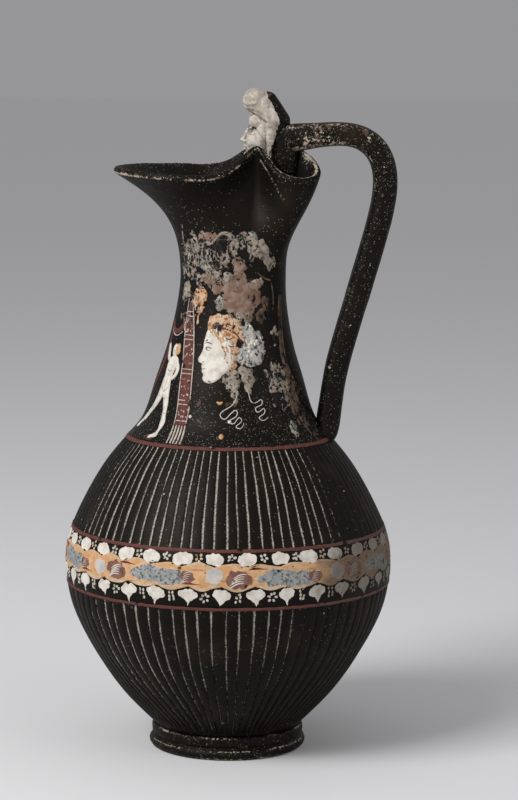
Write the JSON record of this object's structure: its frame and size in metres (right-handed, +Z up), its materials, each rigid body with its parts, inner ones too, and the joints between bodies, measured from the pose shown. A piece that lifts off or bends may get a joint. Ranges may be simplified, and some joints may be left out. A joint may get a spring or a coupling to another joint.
{
  "type": "pouring jug",
  "caption": "Black-gloss ceramic pouring jug with a pinched spouted mouth, ribbed round body, painted bands, ring foot, high strap handle and a small moulded head at the rim.",
  "frame": {"origin": "centre of the foot ring's resting face, on the vessel's axis", "axes": "+Z up along the vessel's axis, spout towards -X, handle towards +X"},
  "size_m": [0.182, 0.1808, 0.3658],
  "materials": {
    "black_gloss": "satin black gloss slip, worn",
    "white_slip": "matt white slip"
  },
  "bodies": {
    "root": {"foot_ring": "black_gloss", "lower_body": "black_gloss", "shoulder": "black_gloss", "neck_and_mouth": "black_gloss", "handle": "black_gloss", "head_front": "white_slip", "head_back": "black_gloss"}
  },
  "joints": []
}
